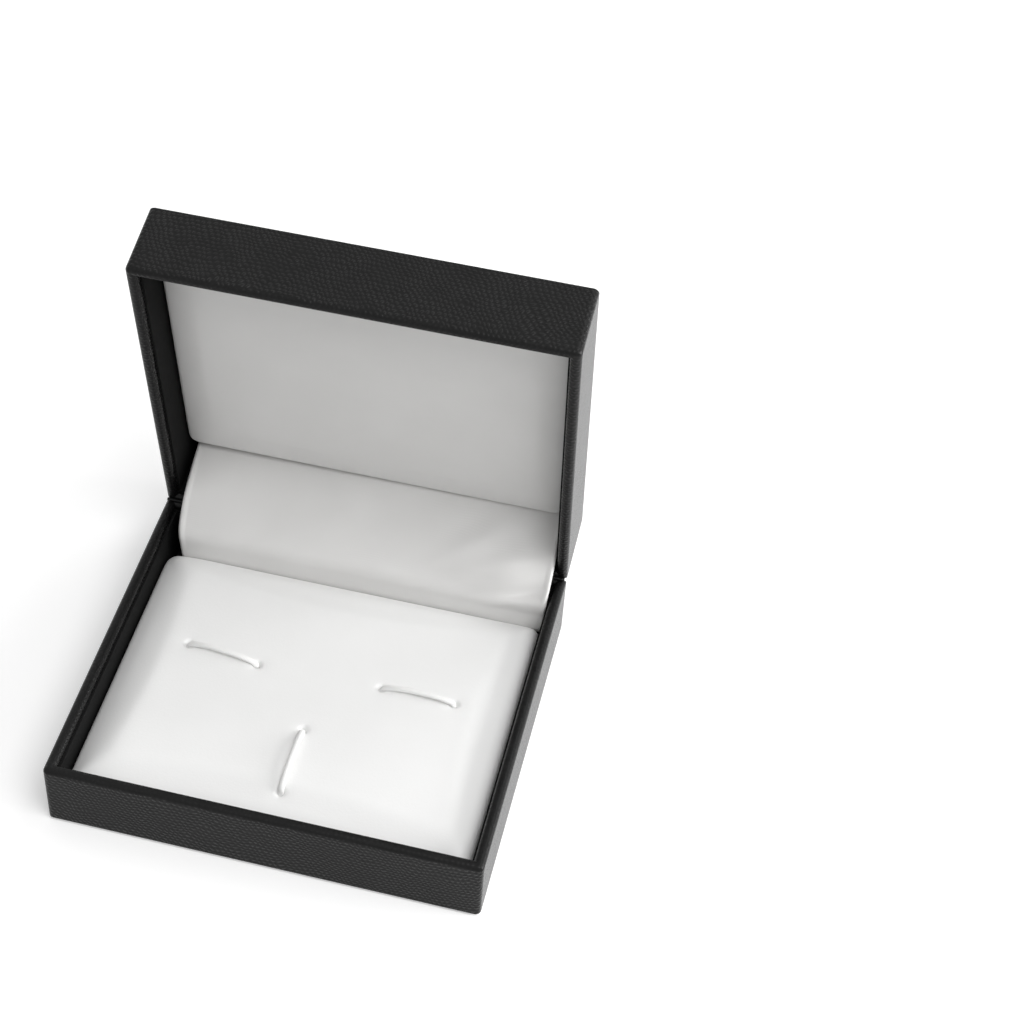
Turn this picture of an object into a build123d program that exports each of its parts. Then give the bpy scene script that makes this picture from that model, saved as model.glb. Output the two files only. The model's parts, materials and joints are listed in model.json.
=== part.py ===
from build123d import *
import math
import os

# Hinged display box for one pair of cufflinks and a tie clip, lid open.
# Frame: origin at the centre of the underside, +X to the right, +Y to the hinge, +Z up.

# ---- driving sizes, millimetres -------------------------------------------------------
WIDTH = 100.0               # outside, left to right
DEPTH = 88.0                # outside, front to back
BASE_HEIGHT = 17.8          # underside to rim
LID_HEIGHT = 18.4           # rim to top
SEAM = 0.5                  # gap between the two rims when closed
OPEN_ANGLE = 80.0           # lid stop, degrees from closed

SHELL_WALL = 2.0            # moulded shells
SHELL_FLOOR = 1.6
WRAP = 0.3                  # leatherette paper
CORNER_RADIUS = 1.3         # upright corners, over the paper
EDGE_CUT = 0.5              # bevel of the floor and roof edges, over the paper
TURN_IN = 5.0               # paper folded over the rim
UNDER_MARGIN = 12.0         # paper folded under the floor
SHEET = 0.4                 # felt sheet on the underside
SHEET_INSET = 3.0           # from the box edge to the sheet
LINER = 0.5                 # card collar inside the walls
LINER_DROP = 2.0            # liner edge below the rim

RIB = 1.2                   # ribs that carry the pad and the lid panel
BASE_RIB_HEIGHT = 4.2
LID_RIB_HEIGHT = 1.4
RIB_TO_KNOT = 1.0           # ribs that run front to back, outside the loops' knots
RIB_Y = 22.0                # ribs that run left to right, from the middle

BOARD = 1.2                 # card under pad and panel
PAD_FOAM = 4.4
PANEL_FOAM = 3.0
PAD_SKIN = 0.5              # white leatherette
PANEL_SKIN = 0.4            # satin
SKIN_FLANGE = 5.0           # skin folded under the card
PAD_EDGE_RADIUS = 3.0
PANEL_EDGE_RADIUS = 1.4
PAD_CORNER_RADIUS = 4.0
PANEL_CORNER_RADIUS = 2.2
FIT_GAP = 0.4               # pad and panel to liner
PAD_TO_HINGE = 9.4          # pad's rear edge to the hinge axis
PANEL_TO_HINGE = 10.6       # panel's edge to the hinge axis

HINGE_INSET = 1.6           # axis to the rear face
NOTCH_APEX = 0.6            # notch reaches this far in front of the axis
NOTCH_HALF_ANGLE = 43.0
LEAF = 0.5                  # hinge sheet steel
LEAF_LENGTH = 40.0
LEAF_REACH = 12.0           # axis to the leaf's far edge
KNUCKLES = 5
KNUCKLE_GAP = 0.3
PIN_RADIUS = 0.65
PIN_CLEARANCE = 0.05
HINGE_CLEARANCE = 0.4       # shells to the barrel
PIN_HEAD = 0.6              # pin beyond the knuckles, each end
RIVET_RADIUS = 0.8
RIVET_HEAD_RADIUS = 1.5
RIVET_HEAD = 0.5
RIVET_X = 14.0
RIVET_Z = 7.5               # from the axis
RIVET_CLEARANCE = 0.05
RIVET_SIDES = 12            # flats of a rivet and its hole
SPRING = 0.3
SPRING_WIDTH = 14.0
SPRING_LEG = 9.0
SPRING_GAP = 0.3            # to the knuckles and leaves
SPINE = 0.3                 # leatherette strip over the hinge
SPINE_REACH = 12.0
SPINE_GAP = 0.05            # to the lid, so that the two bodies stay apart

COVER_X = (-44.7, 46.4)     # satin flap over the hinge, left and right edges
COVER_SHIFT = (0.35, -0.2)  # front face to back face of the flap, along Y and Z
COVER_PROFILE = [(10.8, 12.1), (2.4, 6.8), (-7.7, -1.6)]    # from the axis, lid end first
COVER_BENDS = [60.0, 6.0]   # radii at the profile's two corners
COVER_TO_PAD = 0.5          # flap's lower edge behind the pad
COVER_TUCK = 4.55           # and below the pad's top

CORD_RADIUS = 0.9           # elastic loops
CORD_CLEARANCE = 0.25
CORD_LIFT = 0.3             # cord's underside above the pad, at its ends
CORD_RISE = 0.9             # middle of the loop above its ends
CORD_BEND = 2.0
CORD_SIDES = 8              # flats of the cord's section
KNOT_RADIUS = 1.6
KNOT_HEIGHT = 2.2
KNOT_GAP = 0.05
LOOP_SPAN = 17.4
SIDE_LOOP_SHARE = (0.235, 0.024)    # side loops' middles from the box's, as shares of width and depth
CLIP_LOOP_SHARE = (0.013, -0.264)

# ---- sizes that follow ----------------------------------------------------------------
RIM = 2 * WRAP + SHELL_WALL             # rim's width: paper, shell, paper
LINED = RIM + LINER                     # outer face to liner face
RIM_BEVEL = SHELL_WALL * 0.35
EDGE_BEVEL = EDGE_CUT * 0.7
SIDE_LOOP_X, SIDE_LOOP_Y = SIDE_LOOP_SHARE[0] * WIDTH, SIDE_LOOP_SHARE[1] * DEPTH
RIB_X = SIDE_LOOP_X + LOOP_SPAN / 2 + KNOT_RADIUS + RIB_TO_KNOT + RIB / 2
REAR = DEPTH / 2
AXIS_Y = REAR - HINGE_INSET
AXIS_Z = BASE_HEIGHT + SEAM / 2
BORE_RADIUS = PIN_RADIUS + PIN_CLEARANCE
BARREL_RADIUS = BORE_RADIUS + LEAF
SHELL_INNER_Y = REAR - WRAP - SHELL_WALL
FLOOR_TOP = SHEET + WRAP + SHELL_FLOOR
PAD_BOTTOM = FLOOR_TOP + BASE_RIB_HEIGHT
PAD_BOARD_Z = PAD_BOTTOM + PAD_SKIN
PAD_TOP = PAD_BOARD_Z + BOARD + PAD_FOAM + PAD_SKIN
ROOF_INNER = LID_HEIGHT - WRAP - SHELL_FLOOR    # from the lid's rim


# ---- helpers --------------------------------------------------------------------------
def block(x_range, y_range, z_range, corner=0.0):
    """Upright block between the given limits, its upright edges rounded by corner."""
    x0, x1 = x_range
    y0, y1 = y_range
    z0, z1 = z_range
    plan = RectangleRounded(x1 - x0, y1 - y0, corner) if corner else Rectangle(x1 - x0, y1 - y0)
    return Pos((x0 + x1) / 2, (y0 + y1) / 2, z0) * extrude(plan, z1 - z0)


def tray_block(inset, z_range, corner=0.0):
    """Block inset from the box's outside all round."""
    half_x = WIDTH / 2 - inset
    half_y = DEPTH / 2 - inset
    return block((-half_x, half_x), (-half_y, half_y), z_range, corner)


def top_edges(solid):
    return solid.edges().group_by(Axis.Z)[-1]


def bottom_edges(solid):
    return solid.edges().group_by(Axis.Z)[0]


def prism(points, length):
    """Outline in the YZ plane, given from the hinge axis, drawn along X about the middle."""
    outline = make_face(Polyline(*points, close=True))
    solid = extrude(Plane.YZ * outline, length / 2, both=True)
    return Pos(0, AXIS_Y, AXIS_Z) * solid


def along_x(radius, length, x=0.0):
    """Cylinder on the hinge axis."""
    return Pos(x, AXIS_Y, AXIS_Z) * Rot(0, 90, 0) * Cylinder(radius, length)


def opened(shape):
    """Turn a lid piece about the hinge from closed to the open stop."""
    return Pos(0, AXIS_Y, AXIS_Z) * Rot(-OPEN_ANGLE, 0, 0) * Pos(0, -AXIS_Y, -AXIS_Z) * shape


def closed_lid(shape):
    """Put a piece, drawn rim up with its roof at zero, over the base, rim down."""
    return Pos(0, 0, BASE_HEIGHT + SEAM + LID_HEIGHT) * Rot(0, 180, 0) * shape


# ---- trays: shell, paper and liner, drawn rim up from z = 0 -----------------------------
def ribs(rib_height):
    """Crossed ribs on a tray's floor, between the liners."""
    z_range = (WRAP + SHELL_FLOOR, WRAP + SHELL_FLOOR + rib_height)
    reach_x = WIDTH / 2 - LINED
    reach_y = DEPTH / 2 - LINED
    rear_y = AXIS_Y - PANEL_TO_HINGE
    made = []
    for side in (-1, 1):
        middle = side * RIB_X
        made.append(block((middle - RIB / 2, middle + RIB / 2), (-reach_y, rear_y), z_range))
        middle = side * RIB_Y
        made.append(block((-reach_x, reach_x), (middle - RIB / 2, middle + RIB / 2), z_range))
    return made


def tray_shell(height, rib_height):
    """Moulded tray: bevelled rim and floor edge under the paper, crossed ribs."""
    outer = tray_block(WRAP, (WRAP, height - WRAP), CORNER_RADIUS - WRAP)
    outer = chamfer(bottom_edges(outer), EDGE_BEVEL)
    shell = outer - tray_block(WRAP + SHELL_WALL, (WRAP + SHELL_FLOOR, height))
    shell = chamfer(top_edges(shell), RIM_BEVEL)
    return shell + ribs(rib_height)


def tray_wrap(height, window_margin):
    """Leatherette over the walls, turned in over the rim and, on the base, under the floor."""
    skin = tray_block(0, (0, height), CORNER_RADIUS)
    skin = chamfer(bottom_edges(skin), EDGE_CUT)
    skin -= tray_block(RIM, (height - TURN_IN, height))
    skin = fillet(top_edges(skin), RIM * 0.46)
    core = tray_block(WRAP, (WRAP, height - WRAP), CORNER_RADIUS - WRAP)
    core = chamfer(bottom_edges(core), EDGE_BEVEL)
    core -= tray_block(WRAP + SHELL_WALL, (height - TURN_IN, height))
    core = chamfer(top_edges(core), RIM_BEVEL)
    skin -= core
    if window_margin:
        skin -= tray_block(window_margin, (0, WRAP))
    return skin


def tray_liner(height):
    """Card collar that stands on the floor inside the turned-in paper."""
    z_range = (WRAP + SHELL_FLOOR, height - LINER_DROP)
    return tray_block(RIM, z_range) - tray_block(LINED, z_range)


# ---- cuts for the hinge ---------------------------------------------------------------
def rear_notch():
    """Wedge cut along the rear of both rims, so that the lid can swing back."""
    reach = 2 * HINGE_INSET + NOTCH_APEX
    rise = reach * math.tan(math.radians(NOTCH_HALF_ANGLE))
    points = [(-NOTCH_APEX, 0), (reach - NOTCH_APEX, rise), (reach - NOTCH_APEX, -rise)]
    return prism(points, WIDTH + 2 * WRAP)


def hinge_pocket():
    """Room for the barrel in both rims, and for the leaves in the turned-in paper and liner."""
    length = LEAF_LENGTH + 2 * (PIN_HEAD + HINGE_CLEARANCE)
    barrel = along_x(BARREL_RADIUS + HINGE_CLEARANCE, length)
    half = length / 2
    leaf_reach = LEAF_REACH + HINGE_CLEARANCE
    slot = block((-half, half), (REAR - LINED - FIT_GAP, SHELL_INNER_Y),
                 (AXIS_Z - leaf_reach, AXIS_Z + leaf_reach))
    return barrel + slot


def rivet_holes(side):
    """Holes through leaf and shell; side is -1 for the base and 1 for the lid."""
    plan = RegularPolygon(RIVET_RADIUS + RIVET_CLEARANCE, RIVET_SIDES)
    hole = extrude(plan, 2 * RIM, both=True)
    return [rivet_axis(x, side) * hole for x in (-RIVET_X, RIVET_X)]


def rivet_axis(x, side):
    """Place a cylinder so that it runs through the rear wall."""
    return Pos(x, SHELL_INNER_Y, AXIS_Z + side * RIVET_Z) * Rot(90, 0, 0)


# ---- hinge ----------------------------------------------------------------------------
def knuckle_ranges(first):
    """X limits of every second knuckle, from the given one."""
    pitch = (LEAF_LENGTH + KNUCKLE_GAP) / KNUCKLES
    starts = [-LEAF_LENGTH / 2 + index * pitch for index in range(first, KNUCKLES, 2)]
    return [(start, start + pitch - KNUCKLE_GAP) for start in starts]


def hinge_leaf(first, side):
    """Sheet-steel leaf with knuckles rolled round the pin."""
    front = AXIS_Y - BARREL_RADIUS
    half = LEAF_LENGTH / 2
    near = BARREL_RADIUS + HINGE_CLEARANCE
    z_limits = sorted((AXIS_Z + side * near, AXIS_Z + side * LEAF_REACH))
    leaf = block((-half, half), (front, front + LEAF), z_limits)
    for x_range in knuckle_ranges(first):
        z_limits = sorted((AXIS_Z, AXIS_Z + side * near))
        leaf += block(x_range, (front, front + LEAF), z_limits)
        x_middle = sum(x_range) / 2
        leaf += along_x(BARREL_RADIUS, x_range[1] - x_range[0], x_middle)
    leaf -= along_x(BORE_RADIUS, LEAF_LENGTH + 2)
    for hole in rivet_holes(side):
        leaf -= hole
    return leaf


def rivets(side):
    """Two rivets through leaf and shell, with flat heads on the leaf."""
    head_face = AXIS_Y - BARREL_RADIUS
    shank_end = REAR - WRAP
    made = []
    for x in (-RIVET_X, RIVET_X):
        place = Pos(x, 0, AXIS_Z + side * RIVET_Z) * Rot(-90, 0, 0)
        shank = extrude(RegularPolygon(RIVET_RADIUS, RIVET_SIDES), shank_end - head_face)
        head = extrude(RegularPolygon(RIVET_HEAD_RADIUS, RIVET_SIDES), -RIVET_HEAD)
        made.append(place * Pos(0, 0, head_face) * (shank + head))
    return made


def snap_spring():
    """Flat spring strip that bends round the barrel and lies along both leaves."""
    inner = BARREL_RADIUS + SPRING_GAP
    outer = inner + SPRING
    turn = math.radians(OPEN_ANGLE)

    def at(radius, angle, along=0.0):
        y = -radius * math.cos(angle) + along * math.sin(angle)
        z = radius * math.sin(angle) + along * math.cos(angle)
        return (y, z)

    edges = [
        Line(at(outer, 0, -SPRING_LEG), at(outer, 0)),
        ThreePointArc(at(outer, 0), at(outer, turn / 2), at(outer, turn)),
        Line(at(outer, turn), at(outer, turn, SPRING_LEG)),
        Line(at(outer, turn, SPRING_LEG), at(inner, turn, SPRING_LEG)),
        Line(at(inner, turn, SPRING_LEG), at(inner, turn)),
        ThreePointArc(at(inner, turn), at(inner, turn / 2), at(inner, 0)),
        Line(at(inner, 0), at(inner, 0, -SPRING_LEG)),
        Line(at(inner, 0, -SPRING_LEG), at(outer, 0, -SPRING_LEG)),
    ]
    strip = extrude(Plane.YZ * make_face(edges), SPRING_WIDTH / 2, both=True)
    return Pos(0, AXIS_Y, AXIS_Z) * strip


def spine_strip():
    """Leatherette strip on the rear of base and lid, folded in the notch."""
    half = (WIDTH - CORNER_RADIUS) / 2
    fold = HINGE_INSET - SPINE / 2
    base_leg = block((-half, half), (REAR, REAR + SPINE), (AXIS_Z - SPINE_REACH, AXIS_Z - fold))
    lid_leg = block((-half, half), (REAR + SPINE_GAP, REAR + SPINE_GAP + SPINE),
                    (AXIS_Z + fold, AXIS_Z + SPINE_REACH))
    return base_leg + opened(lid_leg)


def hinge_cover():
    """Satin flap that bulges over the hinge, from the lid panel to behind the pad."""
    shift_y, shift_z = COVER_SHIFT
    foot = (COVER_TO_PAD - PAD_TO_HINGE, PAD_TOP - COVER_TUCK - AXIS_Z)
    front = FilletPolyline(*COVER_PROFILE, foot, radius=COVER_BENDS)
    back = Pos(shift_y, shift_z) * front
    edges = [front, Line(front @ 1, back @ 1), back, Line(back @ 0, front @ 0)]
    left, right = COVER_X
    flap = extrude(Plane.YZ * make_face(edges), right - left)
    return Pos(left, AXIS_Y, AXIS_Z) * flap


# ---- pad and panel, drawn card down, top up ---------------------------------------------
def cushion(y_range, bottom, foam, skin, edge_radius, corner):
    """Skin, foam and card of a padded insert that stands on its folded-under skin."""
    half = WIDTH / 2 - LINED - FIT_GAP
    x_range = (-half, half)
    card_z = bottom + skin
    top = card_z + BOARD + foam
    inner_x = (-half + skin, half - skin)
    inner_y = (y_range[0] + skin, y_range[1] - skin)
    card = block(inner_x, inner_y, (card_z, card_z + BOARD), corner - skin)
    core = block(inner_x, inner_y, (card_z + BOARD, top), corner - skin)
    core = chamfer(top_edges(core), (edge_radius - skin) * 0.6)
    outside = block(x_range, y_range, (bottom, top + skin), corner)
    outside = fillet(top_edges(outside), edge_radius)
    window_x = (-half + SKIN_FLANGE, half - SKIN_FLANGE)
    window_y = (y_range[0] + SKIN_FLANGE, y_range[1] - SKIN_FLANGE)
    window = block(window_x, window_y, (bottom, card_z))
    return card, core, outside - core - card - window


# ---- elastic loops --------------------------------------------------------------------
def loop(x, y, turned):
    """Cord from knot to knot: up through the pad, over it in a low arch, and down again."""
    half = LOOP_SPAN / 2
    knot_z = PAD_BOARD_Z - KNOT_GAP - KNOT_HEIGHT
    shoulder = PAD_TOP + CORD_LIFT + CORD_RADIUS
    crown = shoulder + CORD_RISE
    points = [(-half, 0, knot_z), (-half, 0, shoulder), (0, 0, crown),
              (half, 0, shoulder), (half, 0, knot_z)]
    path = FilletPolyline(*points, radius=[CORD_BEND, LOOP_SPAN / 2, CORD_BEND])
    section = Pos(-half, 0, knot_z) * RegularPolygon(CORD_RADIUS, CORD_SIDES)
    cord = sweep(section, path=path)
    for side in (-half, half):
        cord += Pos(side, 0, knot_z) * extrude(RegularPolygon(KNOT_RADIUS, CORD_SIDES), KNOT_HEIGHT)
    return Pos(x, y, 0) * Rot(0, 0, turned) * cord


def loop_slits(x, y, turned):
    """Square punched slits for both ends of a loop through skin, foam and card."""
    reach = CORD_RADIUS + CORD_CLEARANCE
    slits = []
    for side in (-LOOP_SPAN / 2, LOOP_SPAN / 2):
        slit = block((side - reach, side + reach), (-reach, reach), (PAD_BOTTOM, PAD_TOP + reach))
        slits.append(Pos(x, y, 0) * Rot(0, 0, turned) * slit)
    return slits


def main():
    notch = rear_notch()
    pocket = hinge_pocket()
    parts = {}

    # Base: shell, paper, liner, felt sheet.
    base_tray_height = BASE_HEIGHT - SHEET
    lift = Pos(0, 0, SHEET)
    base_shell = lift * tray_shell(base_tray_height, BASE_RIB_HEIGHT) - notch - pocket
    for hole in rivet_holes(-1):
        base_shell -= hole
    parts["base_shell"] = base_shell
    base_wrap = lift * tray_wrap(base_tray_height, UNDER_MARGIN)
    parts["base_wrap"] = base_wrap - notch - pocket
    parts["base_liner"] = lift * tray_liner(base_tray_height) - notch - pocket
    parts["underside_sheet"] = tray_block(SHEET_INSET, (0, SHEET), CORNER_RADIUS)

    # Pad and loops.
    front_y = -DEPTH / 2 + LINED + FIT_GAP
    pad_y = (front_y, AXIS_Y - PAD_TO_HINGE)
    pad = cushion(pad_y, PAD_BOTTOM, PAD_FOAM, PAD_SKIN, PAD_EDGE_RADIUS, PAD_CORNER_RADIUS)
    loops = {
        "cufflink_loop_left": (-SIDE_LOOP_X, SIDE_LOOP_Y, 0),
        "cufflink_loop_right": (SIDE_LOOP_X, SIDE_LOOP_Y, 0),
        "tie_clip_loop": (CLIP_LOOP_SHARE[0] * WIDTH, CLIP_LOOP_SHARE[1] * DEPTH, 90),
    }
    for name, piece in zip(("pad_board", "pad_foam", "pad_cover"), pad):
        for place in loops.values():
            for slit in loop_slits(*place):
                piece -= slit
        parts[name] = piece
    for name, place in loops.items():
        parts[name] = loop(*place)

    # Lid.
    lid_shell = closed_lid(tray_shell(LID_HEIGHT, LID_RIB_HEIGHT)) - notch - pocket
    for hole in rivet_holes(1):
        lid_shell -= hole
    panel_y = (front_y, AXIS_Y - PANEL_TO_HINGE)
    panel_bottom = LID_HEIGHT - ROOF_INNER + LID_RIB_HEIGHT
    panel = cushion(panel_y, panel_bottom, PANEL_FOAM, PANEL_SKIN,
                    PANEL_EDGE_RADIUS, PANEL_CORNER_RADIUS)
    closed = {
        "lid_shell": lid_shell,
        "lid_wrap": closed_lid(tray_wrap(LID_HEIGHT, 0)) - notch - pocket,
        "lid_liner": closed_lid(tray_liner(LID_HEIGHT)) - notch - pocket,
        "lid_panel_board": closed_lid(panel[0]),
        "lid_panel_foam": closed_lid(panel[1]),
        "lid_panel_satin": closed_lid(panel[2]),
        "lid_hinge_leaf": hinge_leaf(1, 1),
        "lid_leaf_rivets": Compound(children=rivets(1)),
    }
    for name, piece in closed.items():
        parts[name] = opened(piece)

    # Hinge.
    parts["base_hinge_leaf"] = hinge_leaf(0, -1)
    parts["base_leaf_rivets"] = Compound(children=rivets(-1))
    parts["hinge_pin"] = along_x(PIN_RADIUS, LEAF_LENGTH + 2 * PIN_HEAD)
    parts["snap_spring"] = snap_spring()
    parts["spine_strip"] = spine_strip()
    parts["hinge_cover"] = hinge_cover()

    os.makedirs("parts", exist_ok=True)
    for name, piece in parts.items():
        export_step(piece, f"parts/{name}.step")


main()
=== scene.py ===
"""Looks of the cufflink display box: materials, padded and satin pieces, loops, light and camera."""

import json
import math

import bmesh
import bpy
from mathutils import Matrix, Vector, noise


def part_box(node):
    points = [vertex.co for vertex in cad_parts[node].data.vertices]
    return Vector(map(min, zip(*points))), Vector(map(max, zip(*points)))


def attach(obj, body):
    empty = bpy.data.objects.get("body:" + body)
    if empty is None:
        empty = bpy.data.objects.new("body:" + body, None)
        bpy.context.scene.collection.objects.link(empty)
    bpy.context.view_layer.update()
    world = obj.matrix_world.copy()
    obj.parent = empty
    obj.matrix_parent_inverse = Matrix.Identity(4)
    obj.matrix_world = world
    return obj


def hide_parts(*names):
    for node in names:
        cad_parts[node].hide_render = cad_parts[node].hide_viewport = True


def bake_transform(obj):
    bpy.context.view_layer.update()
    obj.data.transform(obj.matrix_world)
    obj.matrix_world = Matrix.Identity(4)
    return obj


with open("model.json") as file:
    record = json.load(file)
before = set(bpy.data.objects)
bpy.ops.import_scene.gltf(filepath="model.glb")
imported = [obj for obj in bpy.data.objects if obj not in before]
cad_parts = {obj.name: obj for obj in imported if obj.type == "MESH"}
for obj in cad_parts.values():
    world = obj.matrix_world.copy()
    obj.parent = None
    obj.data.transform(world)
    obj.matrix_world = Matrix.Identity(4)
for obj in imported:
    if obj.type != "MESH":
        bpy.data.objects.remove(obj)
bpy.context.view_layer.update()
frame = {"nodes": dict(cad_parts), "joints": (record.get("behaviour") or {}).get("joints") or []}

MM = 0.001

# ---- camera: from the front and a little to the right, looking down into the box ----------
CAMERA_AIM = Vector((0.01325, 0.02255, 0.04270))
CAMERA_AZIMUTH = 13.42
CAMERA_ELEVATION = 46.80
CAMERA_ROLL = 1.68
CAMERA_DISTANCE = 0.52225
CAMERA_LENS = 80.91
CAMERA_SHIFT = (0.1114, 0.0247)

# ---- the lid's turn ---------------------------------------------------------------------
HINGE = frame["joints"][0]
AXIS = Vector(HINGE["pos_m"])
OPEN_ANGLE = math.radians(HINGE["range_deg"][1])
TO_CLOSED = Matrix.Translation(AXIS) @ Matrix.Rotation(OPEN_ANGLE, 4, "X") @ Matrix.Translation(-AXIS)
TO_OPEN = TO_CLOSED.inverted()


# ==== node helpers =========================================================================
class Graph:
    """A material whose nodes are added one call at a time."""

    def __init__(self, name):
        self.material = bpy.data.materials.new(name)
        self.material.use_nodes = True
        self.tree = self.material.node_tree
        self.tree.nodes.clear()
        self.output = self.tree.nodes.new("ShaderNodeOutputMaterial")

    def add(self, kind, inputs=None, **settings):
        """New node; inputs maps socket names or numbers to values or other sockets."""
        node = self.tree.nodes.new("ShaderNode" + kind)
        for key, value in settings.items():
            setattr(node, key, value)
        for key, value in (inputs or {}).items():
            self.put(node.inputs[key], value)
        return node

    def put(self, socket, value):
        if isinstance(value, bpy.types.NodeSocket):
            self.tree.links.new(value, socket)
        else:
            socket.default_value = value

    def math(self, operation, a, b=0.0, c=0.0):
        return self.add("Math", {0: a, 1: b, 2: c}, operation=operation).outputs[0]

    def vector(self, operation, a, b=(0, 0, 0)):
        return self.add("VectorMath", {0: a, 1: b}, operation=operation).outputs[0]

    def scaled(self, vector, factor):
        return self.add("VectorMath", {0: vector, "Scale": factor}, operation="SCALE").outputs[0]

    def dot(self, a, b):
        return self.add("VectorMath", {0: a, 1: b}, operation="DOT_PRODUCT").outputs["Value"]

    def smooth(self, value, low, high, to_low=0.0, to_high=1.0):
        node = self.add("MapRange", {"Value": value}, interpolation_type="SMOOTHSTEP")
        for key, number in (("From Min", low), ("From Max", high), ("To Min", to_low), ("To Max", to_high)):
            self.put(node.inputs[key], number)
        return node.outputs[0]

    def noise(self, vector, scale, detail=2.0, rough=0.5):
        inputs = {"Vector": vector, "Scale": scale, "Detail": detail, "Roughness": rough}
        return self.add("TexNoise", inputs)

    def mix(self, factor, a, b):
        node = self.add("Mix", data_type="RGBA")
        self.put(node.inputs[0], factor)
        self.put(node.inputs[6], a)
        self.put(node.inputs[7], b)
        return node.outputs[2]

    def bump(self, height, distance, strength=1.0):
        return self.add("Bump", {"Height": height, "Distance": distance, "Strength": strength}).outputs[0]

    def finish(self, color, roughness, normal=None, **numbers):
        """Principled shader; numbers are set on its own sockets."""
        shader = self.add("BsdfPrincipled")
        self.put(shader.inputs["Base Color"], color)
        self.put(shader.inputs["Roughness"], roughness)
        if normal is not None:
            self.put(shader.inputs["Normal"], normal)
        for key, value in numbers.items():
            shader.inputs[key.replace("_", " ")].default_value = value
        self.tree.links.new(shader.outputs[0], self.output.inputs[0])
        return self.material


def grey(value):
    """Opaque grey."""
    return (value, value, value, 1.0)


# ==== materials ============================================================================
SWAY_SCALE, WANDER_SCALE = 32.0, 260.0     # noises per metre that bend the grain
FINE_SCALE, BLOTCH_SCALE = 2600.0, 190.0   # and that roughen and mottle it
GRAIN_ROWS = (90.0, 30.0, 150.0)           # degrees, three directions of rows
# painted shade and highlight: the grain's valleys get the darker colour and its scale crowns the lighter one
PAPER_VALLEY_SHADE, PAPER_CROWN_HIGHLIGHT = 0.0035, 0.0075
GRAIN_PITCH = 1.25 * MM        # from scale to scale
GRAIN_SWAY = 7.0 * MM          # slow bend of the rows
GRAIN_JITTER = 1.8 * MM        # and small shifts of single scales
GRAIN_STRETCH = 1.08           # rows lie a little closer one way
GRAIN_DEPTH = 0.13 * MM
RIM_FADE = 0.5 * MM            # over which the grain fades into the pressed rim
SIDE_OFFSET = 0.05             # so that side faces don't repeat the front's pattern
SATIN_THREAD = 0.26 * MM
BRAID_ALONG, BRAID_AROUND = 34.0, 8.0      # strands along and round an elastic cord


def face_plane(graph, turn):
    """Position along the face, from object space: two of its coordinates, picked by the face's
    normal. turn is the angle about X that brings the lid's faces in line with the axes."""
    coordinate = graph.add("TexCoord")
    rotation = (turn, 0.0, 0.0)
    shift = tuple(AXIS - Matrix.Rotation(turn, 3, "X") @ AXIS)
    placing = {0: coordinate.outputs["Object"], 1: shift, 2: rotation}
    place = graph.add("Mapping", placing, vector_type="POINT")
    facing = graph.add("Mapping", {0: coordinate.outputs["Normal"], 2: rotation}, vector_type="NORMAL")
    p = graph.add("SeparateXYZ", {0: place.outputs[0]}).outputs
    n = graph.add("SeparateXYZ", {0: facing.outputs[0]}).outputs
    size = [graph.math("ABSOLUTE", n[index]) for index in range(3)]
    side = graph.math("GREATER_THAN", size[0], graph.math("MAXIMUM", size[1], size[2]))
    flat = graph.math("GREATER_THAN", size[2], graph.math("MAXIMUM", size[0], size[1]))
    u = graph.math("MULTIPLY_ADD", side, graph.math("SUBTRACT", p[1], p[0]), p[0])
    v = graph.math("MULTIPLY_ADD", flat, graph.math("SUBTRACT", p[1], p[2]), p[2])
    plane = graph.add("CombineXYZ", {0: u, 1: v, 2: graph.math("MULTIPLY", side, SIDE_OFFSET)})
    return plane.outputs[0], place.outputs[0], side


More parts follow.
